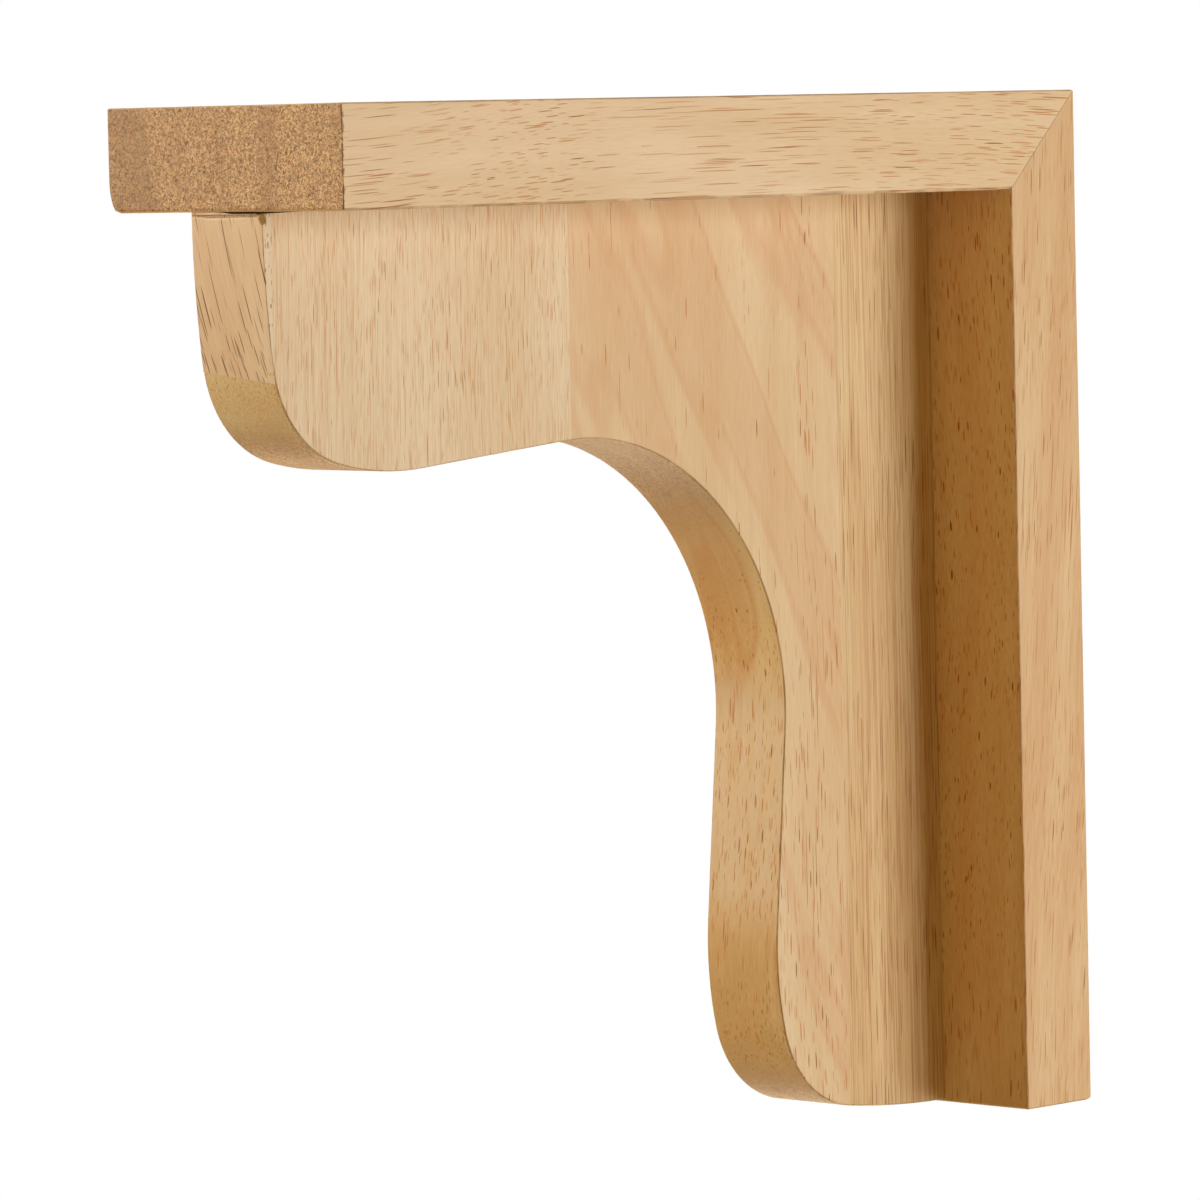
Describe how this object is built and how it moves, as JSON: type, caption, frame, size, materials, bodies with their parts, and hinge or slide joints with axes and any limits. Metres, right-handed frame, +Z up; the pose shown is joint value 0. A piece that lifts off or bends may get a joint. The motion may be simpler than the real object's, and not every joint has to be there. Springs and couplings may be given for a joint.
{
  "type": "wooden corbel bracket",
  "caption": "L-shaped wooden corbel: mitred top and back plates braced by a centred web with an ogee profile; fixes to a wall and carries a shelf or counter.",
  "frame": {"origin": "centre of the back plate's flat back face, which lies on the wall", "axes": "+X across the width, +Y into the wall (the bracket stands out towards -Y), +Z up"},
  "size_m": [0.063, 0.203, 0.203],
  "materials": {
    "top_plate": "sanded, unfinished pale hardwood, grain along the arm",
    "back_plate": "sanded, unfinished pale hardwood, grain upright",
    "web_front_strip": "sanded, unfinished golden hardwood with dark pores, grain upright",
    "web_front_stave": "sanded, unfinished pale hardwood, grain upright",
    "web_middle_stave": "sanded, unfinished warm hardwood, grain upright with a slanting figure",
    "web_back_stave": "sanded, unfinished hardwood, straight close grain, upright"
  },
  "bodies": {
    "root": {"top_plate": "top_plate", "back_plate": "back_plate", "web_front_strip": "web_front_strip", "web_front_stave": "web_front_stave", "web_middle_stave": "web_middle_stave", "web_back_stave": "web_back_stave"}
  },
  "joints": []
}
